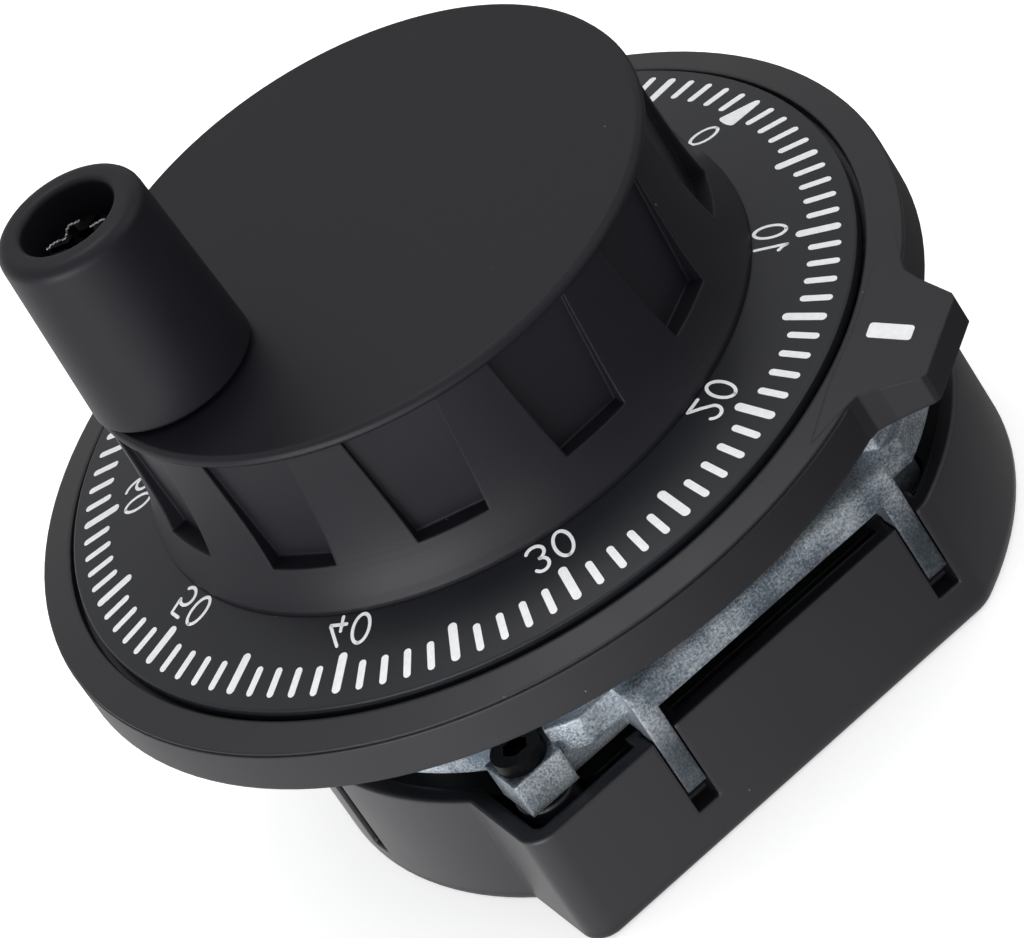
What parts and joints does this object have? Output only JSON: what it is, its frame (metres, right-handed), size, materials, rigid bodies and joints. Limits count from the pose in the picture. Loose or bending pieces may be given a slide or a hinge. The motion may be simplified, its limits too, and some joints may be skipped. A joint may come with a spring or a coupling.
{
  "type": "pulse generator handwheel",
  "caption": "Panel-mounted handwheel with a graduated dial, a fluted knob and a free-spinning crank handle, driving an optical pulse encoder.",
  "frame": {"origin": "on the shaft axis, in the plane of the bezel's rear face that lies on the panel", "axes": "+Z along the shaft, out of the panel towards the operator; -Y towards the flat side of the rear cover, with that side along X"},
  "size_m": [0.079, 0.079, 0.0681],
  "materials": {
    "black_moulding": "fine satin texture",
    "dial_black": "smooth satin",
    "cover_black": "satin",
    "cast_metal": "as-cast, blasted",
    "bearing_steel": "ground",
    "steel": "turned",
    "black_steel": "black oxide",
    "spring_steel": "oiled",
    "seal_rubber": "matte",
    "brass": "turned",
    "magnet": "sintered",
    "board_mask": "black solder mask",
    "component_black": "moulded",
    "lens_clear": "clear epoxy"
  },
  "bodies": {
    "housing": {"bezel": "black_moulding", "bezel_screws": "black_steel", "body": "cast_metal", "bearing_outer_rings": "bearing_steel", "bearing_balls": "bearing_steel", "shaft_seal": "seal_rubber", "detent_magnet": "magnet", "detent_stator": "spring_steel", "circuit_board": "board_mask", "board_screws": "steel", "board_parts": "component_black", "opto_sensor": "component_black", "sensor_led": "lens_clear", "sensor_receiver": "component_black", "terminal_block": "component_black", "terminal_plates": "brass", "terminal_screws": "steel", "corner_screw": "black_steel", "cover_screws": "black_steel", "rear_cover": "cover_black"},
    "wheel": {"shaft": "steel", "bearing_inner_rings": "bearing_steel", "wave_washer": "spring_steel", "retaining_clip": "spring_steel", "hub_bush": "brass", "knob": "black_moulding", "knob_set_screws": "black_steel", "dial": "dial_black", "dial_screws": "steel", "detent_rotor": "spring_steel", "handle_insert": "brass", "handle_washer": "spring_steel", "handle_pin": "black_steel", "disc_hub": "steel", "hub_set_screw": "black_steel", "code_disc": "steel", "disc_clamp": "steel", "disc_screws": "steel"},
    "handle": {"crank_handle": "black_moulding"}
  },
  "joints": [
    {"name": "dial_spin", "type": "hinge", "parent": "housing", "child": "wheel", "pos_m": [0, 0, 0], "axis": [0, 0, 1], "continuous": true},
    {"name": "handle_spin", "type": "hinge", "parent": "wheel", "child": "handle", "pos_m": [-0.01872, 0.00108, 0.0238], "axis": [0, 0, 1], "continuous": true}
  ]
}
